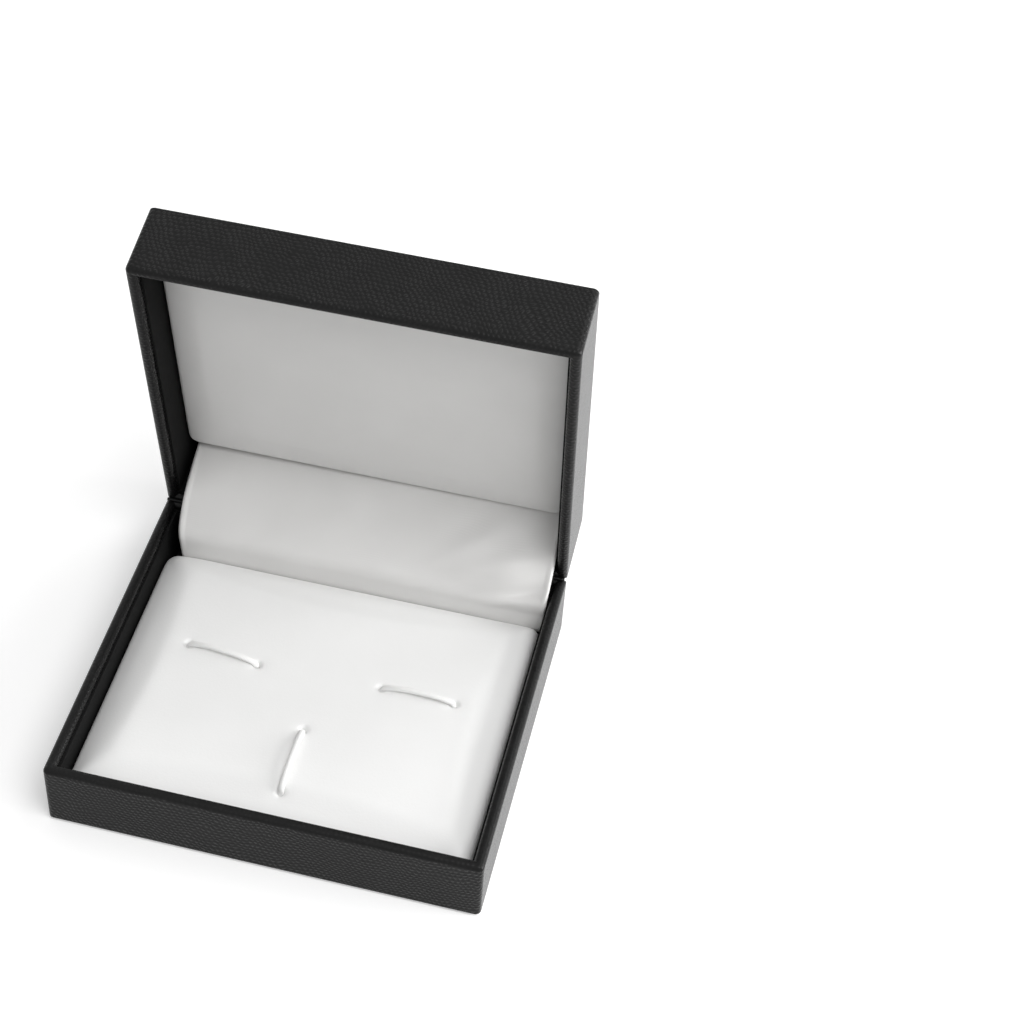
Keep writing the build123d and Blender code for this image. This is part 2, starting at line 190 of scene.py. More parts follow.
def leatherette(name, turn, rim_low, rim_high, depth=1.0):
    """Black paper embossed with lizard grain: staggered round scales in wavy rows, coloured darker in the
    valleys as painted shade and lighter on the crowns as painted highlight.
    """
    graph = Graph(name)
    plane, place, side = face_plane(graph, turn)
    sway = graph.noise(plane, SWAY_SCALE, 1.0)
    wander = graph.noise(plane, WANDER_SCALE, 1.0)
    centred = graph.vector("SUBTRACT", sway.outputs["Color"], (0.5, 0.5, 0.5))
    jitter = graph.vector("SUBTRACT", wander.outputs["Color"], (0.5, 0.5, 0.5))
    warped = graph.vector("ADD", plane, graph.scaled(centred, GRAIN_SWAY))
    warped = graph.vector("ADD", warped, graph.scaled(jitter, GRAIN_JITTER))
    wave = 2 * math.pi / (GRAIN_PITCH * math.sqrt(3) / 2)
    total = 0.0
    for angle in GRAIN_ROWS:
        turned = math.radians(angle)
        direction = (wave * math.cos(turned), wave * math.sin(turned) * GRAIN_STRETCH, 0.0)
        total = graph.math("ADD", total, graph.math("COSINE", graph.dot(warped, direction)))
    scales = graph.smooth(total, -1.0, 2.4)
    fine = graph.noise(plane, FINE_SCALE, 3.0, 0.6)
    blotch = graph.noise(plane, BLOTCH_SCALE, 2.0)
    # the rolled rim is pressed smoother than the faces
    z = graph.add("SeparateXYZ", {0: place}).outputs[2]
    from_low = graph.smooth(z, rim_low - RIM_FADE, rim_low)
    from_high = graph.smooth(z, rim_high, rim_high + RIM_FADE, 1.0, 0.0)
    rim = graph.math("MULTIPLY", from_low, from_high)
    fade = graph.smooth(blotch.outputs["Color"], 0.35, 0.65, 0.55, 1.15)
    fade = graph.math("MULTIPLY", fade, graph.math("MULTIPLY_ADD", side, -0.55, 1.0))
    fade = graph.math("MULTIPLY", fade, graph.math("MULTIPLY_ADD", rim, -0.6, 1.0))
    relief = graph.math("MULTIPLY", scales, fade)
    height = graph.math("MULTIPLY_ADD", fine.outputs[0], 0.10, relief)
    normal = graph.bump(height, GRAIN_DEPTH * depth)
    # painted shade in the valleys and painted highlight on the crowns, following the relief, so it also fades
    # on the pressed rim and the side faces
    crown = graph.mix(relief, grey(PAPER_VALLEY_SHADE), grey(PAPER_CROWN_HIGHLIGHT))
    tone = graph.smooth(blotch.outputs[0], 0.3, 0.7, 0.8, 1.2)
    color = graph.scaled(crown, tone)
    rough = graph.math("MULTIPLY_ADD", relief, -0.08, 0.35)
    rough = graph.math("MULTIPLY_ADD", fine.outputs[0], 0.10, rough)
    rough = graph.math("MULTIPLY_ADD", side, -0.12, rough)
    return graph.finish(color, rough, normal, Specular_IOR_Level=0.17)


def liner_paper():
    """Smooth black card with a faint fibre."""
    graph = Graph("liner_paper")
    place = graph.add("TexCoord").outputs["Object"]
    stretched = graph.add("Mapping", {0: place, 3: (1.0, 1.0, 0.35)}).outputs[0]
    fibre = graph.noise(stretched, 1500.0, 4.0, 0.65)
    cloud = graph.noise(place, 90.0, 2.0)
    color = graph.mix(cloud.outputs[0], grey(0.008), grey(0.012))
    rough = graph.math("MULTIPLY_ADD", fibre.outputs[0], 0.14, 0.6)
    normal = graph.bump(fibre.outputs[0], 0.02 * MM, 0.6)
    return graph.finish(color, rough, normal, Specular_IOR_Level=0.03)


def felt():
    """Black felt of short hairs."""
    graph = Graph("felt_sheet")
    place = graph.add("TexCoord").outputs["Object"]
    hair = graph.noise(place, 1900.0, 6.0, 0.75)
    color = graph.mix(hair.outputs[0], grey(0.008), grey(0.035))
    normal = graph.bump(hair.outputs[0], 0.15 * MM)
    return graph.finish(color, 0.95, normal, Sheen_Weight=0.4)


def white_skin():
    """White leatherette of the pad: soft, matt, with a very fine pore grain."""
    graph = Graph("white_leatherette")
    place = graph.add("TexCoord").outputs["Object"]
    pores = graph.add("TexVoronoi", {"Vector": place, "Scale": 2300.0}, feature="SMOOTH_F1")
    soft = graph.noise(place, 700.0, 3.0, 0.6)
    cloud = graph.noise(place, 45.0, 2.0)
    height = graph.math("MULTIPLY_ADD", soft.outputs[0], 0.8, pores.outputs["Distance"])
    normal = graph.bump(height, 0.03 * MM, 0.5)
    color = graph.mix(cloud.outputs[0], (0.80, 0.80, 0.792, 1), (0.86, 0.86, 0.855, 1))
    rough = graph.math("MULTIPLY_ADD", pores.outputs["Distance"], 0.1, 0.48)
    return graph.finish(color, rough, normal, Sheen_Weight=0.12, Sheen_Roughness=0.5)


def satin(name, turn, tint_low, tint_high):
    """Satin cloth: fine cross ribs, a slight warp, and soft streaks from left to right."""
    graph = Graph(name)
    place = graph.add("TexCoord").outputs["Object"]
    placed = graph.add("Mapping", {0: place, 2: (turn, 0.0, 0.0)}).outputs[0]
    thread = 2 * math.pi / SATIN_THREAD
    p = graph.add("SeparateXYZ", {0: placed}).outputs
    weft = graph.math("SINE", graph.math("MULTIPLY", p[1], thread))
    warp = graph.math("SINE", graph.math("MULTIPLY", p[0], thread * 0.5))
    weave = graph.math("MULTIPLY_ADD", warp, 0.35, weft)
    streaky = graph.add("Mapping", {0: placed, 3: (0.12, 1.0, 1.0)}).outputs[0]
    streak = graph.noise(streaky, 900.0, 3.0, 0.6)
    cloud = graph.noise(placed, 55.0, 2.0)
    height = graph.math("MULTIPLY_ADD", streak.outputs[0], 0.9, graph.math("MULTIPLY", weave, 0.18))
    normal = graph.bump(height, 0.03 * MM, 0.55)
    color = graph.mix(cloud.outputs[0], tint_low, tint_high)
    rough = graph.math("MULTIPLY_ADD", streak.outputs[0], 0.14, 0.36)
    return graph.finish(color, rough, normal, Sheen_Weight=0.25, Sheen_Roughness=0.4,
                        Anisotropic=0.35)


def elastic():
    """Braided elastic: crossed strands round the cord."""
    graph = Graph("elastic_cord")
    place = graph.add("UVMap").outputs[0]
    p = graph.add("SeparateXYZ", {0: place}).outputs
    along = graph.math("MULTIPLY", p[0], 2 * math.pi)
    around = graph.math("MULTIPLY", p[1], 2 * math.pi)
    lengthwise = graph.math("MULTIPLY", along, BRAID_ALONG)
    crosswise = graph.math("MULTIPLY", around, BRAID_AROUND)
    left = graph.math("SINE", graph.math("ADD", lengthwise, crosswise))
    right = graph.math("SINE", graph.math("SUBTRACT", lengthwise, crosswise))
    braid = graph.math("MAXIMUM", left, right)
    normal = graph.bump(braid, 0.02 * MM, 0.6)
    color = graph.mix(graph.smooth(braid, -0.6, 0.8), (0.79, 0.79, 0.78, 1), (0.84, 0.84, 0.83, 1))
    return graph.finish(color, 0.6, normal, Sheen_Weight=0.3)


def plated_steel(name, low, high, rough_low):
    """Plated sheet steel with fine drawn scratches from left to right."""
    graph = Graph(name)
    place = graph.add("TexCoord").outputs["Object"]
    drawn = graph.add("Mapping", {0: place, 3: (0.05, 1.0, 1.0)}).outputs[0]
    scratch = graph.noise(drawn, 4000.0, 3.0, 0.6)
    color = graph.mix(scratch.outputs[0], low, high)
    rough = graph.math("MULTIPLY_ADD", scratch.outputs[0], 0.25, rough_low)
    normal = graph.bump(scratch.outputs[0], 0.01 * MM, 0.5)
    return graph.finish(color, rough, normal, Metallic=1.0)


def speckled(name, low, high, scale, rough, relief):
    """Card and moulded plastic: one noise for tone and relief."""
    graph = Graph(name)
    place = graph.add("TexCoord").outputs["Object"]
    speck = graph.noise(place, scale, 5.0, 0.7)
    color = graph.mix(speck.outputs[0], low, high)
    normal = graph.bump(speck.outputs[0], relief)
    return graph.finish(color, rough, normal)


# ==== shapes ===============================================================================
def closed_box(node):
    """(lowest, highest) corner of a lid node with the lid turned shut."""
    points = [TO_CLOSED @ vertex.co for vertex in frame["nodes"][node].data.vertices]
    low = Vector([min(p[axis] for p in points) for axis in range(3)])
    high = Vector([max(p[axis] for p in points) for axis in range(3)])
    return low, high


def new_object(name, mesh_maker):
    """Object whose mesh is built by mesh_maker(bm)."""
    bm = bmesh.new()
    mesh_maker(bm)
    bmesh.ops.recalc_face_normals(bm, faces=bm.faces)
    mesh = bpy.data.meshes.new(name)
    bm.to_mesh(mesh)
    bm.free()
    for polygon in mesh.polygons:
        polygon.use_smooth = True
    made = bpy.data.objects.new(name, mesh)
    bpy.context.scene.collection.objects.link(made)
    return made


def join_rows(bm, rows):
    """Faces between rows of as many vertices each."""
    for first, second in zip(rows, rows[1:]):
        for column in range(len(first) - 1):
            bm.faces.new((first[column], first[column + 1], second[column + 1], second[column]))


def rounded_outline(half_x, half_y, radius, count):
    """Points evenly spaced round a rectangle with round corners, about the origin."""
    straight_x, straight_y = half_x - radius, half_y - radius
    quarter = radius * math.pi / 2
    legs = [
        (2 * straight_y, lambda s: (half_x, -straight_y + s)),
        (quarter, lambda s: (straight_x + radius * math.cos(s / radius),
                             straight_y + radius * math.sin(s / radius))),
        (2 * straight_x, lambda s: (straight_x - s, half_y)),
        (quarter, lambda s: (-straight_x - radius * math.sin(s / radius),
                             straight_y + radius * math.cos(s / radius))),
        (2 * straight_y, lambda s: (-half_x, straight_y - s)),
        (quarter, lambda s: (-straight_x - radius * math.cos(s / radius),
                             -straight_y - radius * math.sin(s / radius))),
        (2 * straight_x, lambda s: (-straight_x + s, -half_y)),
        (quarter, lambda s: (straight_x + radius * math.sin(s / radius),
                             -straight_y - radius * math.cos(s / radius))),
    ]
    total = sum(length for length, _ in legs)
    points = []
    for index in range(count):
        travel = total * index / count
        for length, place in legs:
            if travel < length:
                points.append(place(travel))
                break
            travel -= length
    return points


def edge_distance(x, y, half_x, half_y, radius):
    """How far inside the rounded rectangle a point lies."""
    qx, qy = abs(x) - half_x + radius, abs(y) - half_y + radius
    outside = math.hypot(max(qx, 0.0), max(qy, 0.0))
    return radius - outside - min(max(qx, qy), 0.0)


OUTLINE_POINTS = 260
SIDE_BOW = 0.1 * MM            # a pad's sides curve in by this at half height
DOME_REACH = 0.8               # of the half depth, where the crown is reached
WALL_LEVELS = (0.0, 0.35, 0.7, 1.0)        # rings up a pad's side
TOP_STEPS = [index / 50 for index in range(13)] + [0.3, 0.38, 0.46, 0.55, 0.65, 0.76, 0.88]


def cushion_form(name, low, high, corner, shoulder, drop, crown):
    """Closed crowned pad between two corners: a flat foot, sides that lean in a little,
    a shoulder that rounds over by drop within shoulder, and a low crown in the middle."""
    middle = (low + high) / 2
    half_x, half_y = (high.x - low.x) / 2, (high.y - low.y) / 2
    top = high.z

    def make(bm):
        outline = rounded_outline(half_x, half_y, corner, OUTLINE_POINTS)
        rings = []
        for level in WALL_LEVELS:
            z = low.z + (top - drop - low.z) * level
            bow = SIDE_BOW * math.sin(math.pi * level)
            share_x, share_y = 1 - bow / half_x, 1 - bow / half_y
            ring = [(middle.x + x * share_x, middle.y + y * share_y, z) for x, y in outline]
            rings.append([bm.verts.new(place) for place in ring])
        for step in TOP_STEPS:
            ring = []
            for x, y in outline:
                px, py = x * (1 - step), y * (1 - step)
                inside = max(edge_distance(px, py, half_x, half_y, corner), 0.0)
                rise = min(inside / shoulder, 1.0)
                lift = drop * (1 - (1 - rise) ** 2)
                dome = crown * min(inside / (DOME_REACH * half_y), 1.0) ** 1.3
                z = top - drop - crown + lift + dome
                ring.append(bm.verts.new((middle.x + px, middle.y + py, z)))
            rings.append(ring)
        for lower, upper in zip(rings, rings[1:]):
            for index in range(len(lower)):
                after = (index + 1) % len(lower)
                bm.faces.new((lower[index], lower[after], upper[after], upper[index]))
        bm.faces.new(rings[0])
        centre = bm.verts.new((middle.x, middle.y, top))
        last = rings[-1]
        for index in range(len(last)):
            bm.faces.new((last[index], last[(index + 1) % len(last)], centre))

    return new_object(name, make)


def apply_modifiers(piece):
    """Freeze what the modifiers show into the mesh."""
    graph = bpy.context.evaluated_depsgraph_get()
    mesh = bpy.data.meshes.new_from_object(piece.evaluated_get(graph))
    piece.modifiers.clear()
    piece.data = mesh
    for polygon in mesh.polygons:
        polygon.use_smooth = True


def thicken(piece, thickness):
    """Give a sheet its thickness, half of it to either side."""
    solid = piece.modifiers.new("thick", "SOLIDIFY")
    solid.thickness = thickness
    solid.offset = 0.0
    apply_modifiers(piece)


TUBE_SIDES = 20


def tube(name, route, radius_across, radius_up):
    """Flattened tube along a list of points, closed at both ends, with UVs along and round."""
    travelled = []                 # length of the route up to each ring
    first = route[1] - route[0]
    across = route[len(route) // 2] - route[0]
    across.z = 0
    last_side = across.cross(Vector((0, 0, 1))).normalized() if first.z else Vector((0, 1, 0))

    def make(bm):
        nonlocal last_side
        rings = []
        up = Vector((0, 0, 1))
        length = 0.0
        for index, point in enumerate(route):
            before, after = route[max(index - 1, 0)], route[min(index + 1, len(route) - 1)]
            tangent = (after - before).normalized()
            side = tangent.cross(up)
            side = side.normalized() if side.length > 0.05 else last_side
            last_side = side
            rise = side.cross(tangent)
            ring = []
            for step in range(TUBE_SIDES):
                angle = 2 * math.pi * step / TUBE_SIDES
                offset = side * radius_across * math.cos(angle) + rise * radius_up * math.sin(angle)
                ring.append(bm.verts.new(point + offset))
            rings.append(ring)
            length += (point - before).length
            travelled.append(length)
        layer = bm.loops.layers.uv.new("UVMap")
        for row, (lower, upper) in enumerate(zip(rings, rings[1:])):
            for index in range(TUBE_SIDES):
                after = (index + 1) % TUBE_SIDES
                face = bm.faces.new((lower[index], lower[after], upper[after], upper[index]))
                values = ((row, index), (row, index + 1), (row + 1, index + 1), (row + 1, index))
                for corner, (along, around) in zip(face.loops, values):
                    corner[layer].uv = (travelled[along] / travelled[-1], around / TUBE_SIDES)
        bm.faces.new(rings[0])
        bm.faces.new(rings[-1])

    return new_object(name, make)


PUFF_SCALE = 10.0              # a pad is this much larger while it swells
PUFF_PRESSURE = 5.0
PUFF_STEPS = 20


def puff(piece, voxel, cap, held):
    """Let a pad's skin swell under pressure from inside, by cap at most. held(point) says
    which points of it stay put."""
    remesh = piece.modifiers.new("even", "REMESH")
    remesh.mode = "VOXEL"
    remesh.voxel_size = voxel
    apply_modifiers(piece)
    rest = [vertex.co.copy() for vertex in piece.data.vertices]
    group = piece.vertex_groups.new(name="held")
    group.add([i for i, point in enumerate(rest) if held(point)], 1.0, "REPLACE")
    piece.data.transform(Matrix.Scale(PUFF_SCALE, 4))
    cloth = piece.modifiers.new("cloth", "CLOTH")
    settings = cloth.settings
    settings.quality = 5
    settings.mass = 0.3
    settings.tension_stiffness = 15.0
    settings.compression_stiffness = 15.0
    settings.bending_stiffness = 3.0
    settings.use_pressure = True
    settings.uniform_pressure_force = PUFF_PRESSURE
    settings.vertex_group_mass = "held"
    settings.effector_weights.gravity = 0.0
    cloth.collision_settings.use_collision = False
    cloth.collision_settings.use_self_collision = False
    for step in range(1, PUFF_STEPS + 1):
        bpy.context.scene.frame_set(step)
    apply_modifiers(piece)
    piece.data.transform(Matrix.Scale(1 / PUFF_SCALE, 4))
    for vertex, start in zip(piece.data.vertices, rest):
        move = vertex.co - start
        if move.length > cap:
            vertex.co = start + move * (cap / move.length)
    piece.vertex_groups.clear()
    bpy.context.scene.frame_set(1)


def relax_and_refine(piece, times):
    """Even out a skin's small steps and refine it once."""
    relax = piece.modifiers.new("relax", "SMOOTH")
    relax.factor = 0.5
    relax.iterations = times
    fine = piece.modifiers.new("fine", "SUBSURF")
    fine.levels = fine.render_levels = 1
    apply_modifiers(piece)


def spline_points(points, detail=14):
    """Points read along the NURBS curve that has these control points."""
    curve = bpy.data.curves.new("route", "CURVE")
    curve.dimensions = "3D"
    curve.resolution_u = detail
    spline = curve.splines.new("NURBS")
    spline.points.add(len(points) - 1)
    for handle, point in zip(spline.points, points):
        handle.co = (*point, 1.0)
    spline.order_u = 3
    spline.use_endpoint_u = True
    holder = bpy.data.objects.new("route", curve)
    bpy.context.scene.collection.objects.link(holder)
    bpy.context.view_layer.update()
    graph = bpy.context.evaluated_depsgraph_get()
    mesh = bpy.data.meshes.new_from_object(holder.evaluated_get(graph))
    route = [vertex.co.copy() for vertex in mesh.vertices]
    bpy.data.objects.remove(holder)
    bpy.data.meshes.remove(mesh)
    return route


# ==== pieces ===============================================================================
CORD_ACROSS, CORD_UP = 0.70 * MM, 0.55 * MM
KNOT_RADIUS = 1.6 * MM
KNOT_TO_CORD = 1.0 * MM        # cord's end above the knot's foot
LOOP_RISE = ((0.0, -1.2), (0.2, 0.4), (2.2, 1.15), (5.5, 1.75))    # mm from an end, mm over the pad
LOOPS = {                      # slant in degrees, shift to the right
    "cufflink_loop_left": (-6.0, 0.6 * MM),
    "cufflink_loop_right": (0.0, 0.4 * MM),
    "tie_clip_loop": (0.0, 0.0),
}


def loop_line(name):
    """Middle of a loop on the pad, its direction, and half the way between its two ends."""
    low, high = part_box(name)
    size = high - low
    along = Vector((1, 0, 0)) if size.x > size.y else Vector((0, 1, 0))
    slant, shift = LOOPS[name]
    along.rotate(Matrix.Rotation(math.radians(slant), 3, "Z"))
    return (low + high) / 2 + Vector((shift, 0, 0)), along, max(size.x, size.y) / 2 - KNOT_RADIUS


def loop_ends():
    """Where every loop goes into the pad."""
    ends = []
    for name in LOOPS:
        middle, along, half = loop_line(name)
        ends += [middle - along * half, middle + along * half]
    return ends


PAD_SPREAD = 0.25 * MM         # swells sideways until it nearly touches the liner
PAD_EDGE = 0.9 * MM            # outer band that keeps its place
PAD_PRESS, PAD_PRESS_REAR = 1.9 * MM, 0.7 * MM      # the pad sits lower along two edges
PAD_PRESS_WIDTH = 13.0 * MM
PAD_RELAX, PANEL_RELAX = 4, 3
# round corner, width and height of the shoulder; mesh step, most swelling, height of the stiff foot
PAD_CORNER, PAD_SHOULDER, PAD_DROP = 2.6 * MM, 5.5 * MM, 2.6 * MM
PAD_VOXEL, PAD_SWELL, PAD_FOOT = 1.1 * MM, 0.6 * MM, 2.2 * MM
PANEL_CORNER, PANEL_SHOULDER, PANEL_DROP = 2.2 * MM, 4.5 * MM, 0.9 * MM
PANEL_VOXEL, PANEL_SWELL, PANEL_FOOT = 0.9 * MM, 0.5 * MM, 1.6 * MM
PANEL_REACH = 0.5 * MM         # panel's soft edge towards the hinge
PANEL_RISE = 0.5 * MM          # and its face, over the flat board and foam
CROWN = 0.3 * MM
TOP_BAND = 4.0 * MM            # dimples are pressed into this much of the pad's top
DIMPLE_REACH, DIMPLE_DEPTH = 4.0 * MM, 0.3 * MM     # where a cord pulls the skin down
SLIT_REACH, SLIT_DEPTH, SLIT_EDGE = 1.1 * MM, 1.2 * MM, 0.6 * MM    # and the slit it goes through


def rim_holder(low, high, foot):
    """The glued foot and the sewn outer edge of a pad, which don't swell."""
    middle = (low + high) / 2
    half_x, half_y = (high.x - low.x) / 2, (high.y - low.y) / 2

    def held(point):
        x, y = point.x - middle.x, point.y - middle.y
        return point.z < low.z + foot or min(half_x - abs(x), half_y - abs(y)) < PAD_EDGE
    return held


def make_pad(material):
    """White pad: swollen, lower along its left and rear edges, dimpled where cords go in."""
    low, high = (corner.copy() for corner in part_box("pad_cover"))
    low.x, high.x = low.x - PAD_SPREAD, high.x + PAD_SPREAD
    pad = cushion_form("pad", low, high, PAD_CORNER, PAD_SHOULDER, PAD_DROP, CROWN)
    puff(pad, PAD_VOXEL, PAD_SWELL, rim_holder(low, high, PAD_FOOT))
    relax_and_refine(pad, PAD_RELAX)
    ends = loop_ends()
    for vertex in pad.data.vertices:
        level = (vertex.co.z - low.z) / (high.z - low.z)
        from_left = min(max(0.0, 1 - (vertex.co.x - low.x) / PAD_PRESS_WIDTH), 1.0)
        from_rear = min(max(0.0, 1 - (high.y - vertex.co.y) / PAD_PRESS_WIDTH), 1.0)
        vertex.co.z -= level * (PAD_PRESS * from_left ** 3 + PAD_PRESS_REAR * from_rear ** 3)
        if vertex.co.z < high.z - TOP_BAND:
            continue
        for end in ends:
            reach = math.hypot(vertex.co.x - end.x, vertex.co.y - end.y)
            if reach < DIMPLE_REACH:
                vertex.co.z -= DIMPLE_DEPTH * (1 - reach / DIMPLE_REACH) ** 2
            if reach < SLIT_REACH:
                vertex.co.z -= SLIT_DEPTH * min(1.0, (SLIT_REACH - reach) / SLIT_EDGE)
    pad.data.materials.append(material)
    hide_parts("pad_cover", "pad_foam")
    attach(pad, "base")


def make_lid_panel(material):
    """Padded satin panel of the lid, shaped face up and then turned over into the open lid."""
    low, high = closed_box("lid_panel_satin")
    turn_over = Matrix.Rotation(math.pi, 4, "X")
    corners = [turn_over @ low, turn_over @ high]
    low = Vector([min(c[axis] for c in corners) for axis in range(3)])
    high = Vector([max(c[axis] for c in corners) for axis in range(3)])
    low.x, high.x = low.x - PAD_SPREAD, high.x + PAD_SPREAD
    low.y, high.z = low.y - PANEL_REACH, high.z + PANEL_RISE
    panel = cushion_form("lid_panel", low, high, PANEL_CORNER, PANEL_SHOULDER, PANEL_DROP, CROWN)
    puff(panel, PANEL_VOXEL, PANEL_SWELL, rim_holder(low, high, PANEL_FOOT))
    relax_and_refine(panel, PANEL_RELAX)
    panel.data.transform(TO_OPEN @ turn_over)
    panel.data.materials.append(material)
    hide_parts("lid_panel_satin", "lid_panel_foam")
    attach(panel, "lid")


def make_loops(material):
    """Elastic loops: up through the pad, over it in a low arch and down again."""
    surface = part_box("pad_cover")[1].z
    for name in LOOPS:
        middle, along, half = loop_line(name)
        rise = [(0.0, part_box(name)[0].z + KNOT_TO_CORD)]
        rise += [(step * MM, surface + up * MM) for step, up in LOOP_RISE]
        shape = [(step - half, z) for step, z in rise] + [(half - step, z) for step, z in reversed(rise)]
        route = [Vector((middle.x, middle.y, z)) + along * step for step, z in shape]
        cord = tube(name + "_cord", spline_points(route), CORD_ACROSS, CORD_UP)
        cord.data.materials.append(material)
        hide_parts(name)
        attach(cord, "base")


COVER_COLUMNS = 150
COVER_THICK = 0.3 * MM
COVER_PAST = 0.4 * MM          # its right edge lies this far past the drawn one
CREASE_FROM, CREASE_OVER = 0.012, 0.033    # creases deepen from here to the right, over this width
FOLD_LIFT, CREASE_LIFT, CREASE_GROWTH, HEM_LIFT = 0.7, 0.2, 1.4, 0.5    # mm
FOLDS_ACROSS, FOLDS_DOWN, FOLDS_PLACE = 45, 2.2, 1.7       # per metre, per length, spot in the noise
CREASES_ACROSS, CREASES_DOWN, CREASES_PLACE = 120, 3.4, 4.1
CREASES_SLANT = 4.0
TAPER_FROM, SAG_UNTIL = 0.45, 0.3          # shares of the way from the lid to the pad
DIP_FROM, DIP_RISE, DIP_FALL = 0.5, 0.4, 0.1
# mm from the hinge axis, back and up, from the lid's end to behind the pad
COVER_ROUTE = ((10.8, 12.1), (7.6, 10.3), (2.6, 6.7), (-1.8, 3.3), (-5.8, -0.2), (-8.2, -2.2),
               (-9.2, -4.8), (-9.4, -9.5))
COVER_SAG = 1.6 * MM           # it hangs deeper under the panel at its left end
COVER_DIP = 0.9 * MM           # and is drawn in below its crest at the right
COVER_HEM = 0.9 * MM           # width of the turned edge on either side
COVER_TAPER = 1.6 * MM         # left edge leans in by this towards the pad


def make_hinge_cover(material):
    """Satin strip from under the lid's panel down behind the pad, a little slack and creased."""
    low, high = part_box("hinge_cover")
    right = high.x + COVER_PAST
    profile = spline_points([(0.0, AXIS.y + y * MM, AXIS.z + z * MM) for y, z in COVER_ROUTE], 10)

    def make(bm):
        rows = []
        for row, point in enumerate(profile):
            before, after = profile[max(row - 1, 0)], profile[min(row + 1, len(profile) - 1)]
            along = (after - before).normalized()
            out = Vector((0, along.z, -along.y))
            share = row / (len(profile) - 1)
            free = math.sin(math.pi * share)
            left = low.x + COVER_TAPER * max(0.0, (share - TAPER_FROM) / (1 - TAPER_FROM)) ** 2
            dip = max(0.0, min((share - DIP_FROM) / DIP_RISE, (1 - share) / DIP_FALL))
            line = []
            for column in range(COVER_COLUMNS + 1):
                across = column / COVER_COLUMNS
                x = left + (right - left) * column / COVER_COLUMNS
                hem = max(0.0, 1 - min(x - left, right - x) / COVER_HEM)
                near_right = max(0.0, (x - CREASE_FROM) / CREASE_OVER)
                soft = noise.noise(Vector((x * FOLDS_ACROSS, share * FOLDS_DOWN, FOLDS_PLACE)))
                slanted = x * CREASES_ACROSS + share * CREASES_SLANT
                crease = noise.noise(Vector((slanted, share * CREASES_DOWN, CREASES_PLACE)))
                lift = soft * FOLD_LIFT + crease * (CREASE_LIFT + CREASE_GROWTH * near_right)
                lift += HEM_LIFT * math.sin(math.pi * hem)
                sag = COVER_SAG * (1 - across) ** 2 * max(0.0, 1 - share / SAG_UNTIL) ** 1.5
                sag += COVER_DIP * across ** 3 * dip
                line.append(bm.verts.new(point + Vector((x, 0, 0)) + out * (lift * free * MM - sag)))
            rows.append(line)
        join_rows(bm, rows)

    cover = new_object("hinge_satin", make)
    thicken(cover, COVER_THICK)
    cover.data.materials.append(material)
    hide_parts("hinge_cover")
    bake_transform(cover)


# mm from the hinge axis, back and up: over the leaves, and beyond them down in the groove
SPINE_FLAT = ((1.75, -12.0), (1.75, -2.2), (1.6, -1.75), (1.2, -1.4), (1.05, -1.15), (1.3, -1.0),
              (2.2, -1.42), (2.48, -1.39), (12.13, 0.31))
SPINE_DEEP = ((1.75, -12.0), (1.75, -2.2), (1.6, -1.75), (-0.46, 0.15), (-0.5, 0.38), (-0.2, 0.42),
              (2.2, -1.42), (2.48, -1.39), (12.13, 0.31))
SPINE_FOLD_ROWS = (3, 4, 5)         # the rows that lie in the groove reach further to the sides
SPINE_FOLD_PAST = 0.25 * MM         # by this much
SPINE_COLUMNS = 140
SPINE_THICK = 0.3 * MM
LEAF_END = 21.0 * MM                # beyond the hinge leaves the fold reaches the groove's bottom
LEAF_STEP = 3.0 * MM                # within this way


def make_spine(material):
    """Leatherette strip glued over the hinge outside: down the base, folded into the groove
    between the two rims and out along the lid."""
    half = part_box("spine_strip")[1].x

    def make(bm):
        rows = []
        for row, (flat, deep) in enumerate(zip(SPINE_FLAT, SPINE_DEEP)):
            reach = half + SPINE_FOLD_PAST if row in SPINE_FOLD_ROWS else half
            line = []
            for column in range(SPINE_COLUMNS + 1):
                x = reach * (2 * column / SPINE_COLUMNS - 1)
                share = min(max((abs(x) - LEAF_END) / LEAF_STEP, 0.0), 1.0)
                y, z = (a + (b - a) * share for a, b in zip(flat, deep))
                line.append(bm.verts.new((x, AXIS.y + y * MM, AXIS.z + z * MM)))
            rows.append(line)
        join_rows(bm, rows)

    spine = new_object("spine_paper", make)
    thicken(spine, SPINE_THICK)
    spine.data.materials.append(material)
    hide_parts("spine_strip")
    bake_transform(spine)


SPRING_THICK = 0.3 * MM
SPRING_ARC_STEPS = 12


def make_spring(material):
    """Flat steel strip round the hinge's barrel, one leg on each leaf."""
    low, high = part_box("snap_spring")
    radius = AXIS.y - low.y - SPRING_THICK / 2
    leg = AXIS.z - low.z

    def at(angle, along=0.0):
        y = -radius * math.cos(angle) + along * math.sin(angle)
        z = radius * math.sin(angle) + along * math.cos(angle)
        return Vector((0, AXIS.y + y, AXIS.z + z))

    arc = [at(OPEN_ANGLE * step / SPRING_ARC_STEPS) for step in range(SPRING_ARC_STEPS + 1)]
    profile = [at(0.0, -leg)] + arc + [at(OPEN_ANGLE, leg)]

    def make(bm):
        join_rows(bm, [[bm.verts.new((x, point.y, point.z)) for x in (low.x, high.x)] for point in profile])

    strip = new_object("spring_strip", make)
    thicken(strip, SPRING_THICK)
    strip.data.materials.append(material)
    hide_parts("snap_spring")
    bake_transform(strip)


# ==== stage ================================================================================
AMBIENT = 0.44
FLOOR_TONE = 0.86
FLOOR_HALF = 4.0
FLOOR_GLOW = 0.3               # in direct view and in reflections only
LAMPS = (
    # name, place, aim, size, watts
    ("key", (0.45, -0.35, 1.00), (0.0, 0.0, 0.03), 0.7, 6.4),
    ("right", (0.80, 0.15, 0.25), (0.0, 0.0, 0.05), 0.6, 6.6),
    ("back", (0.30, 0.50, 0.80), (0.03, 0.0, 0.05), 0.25, 1.0),
)


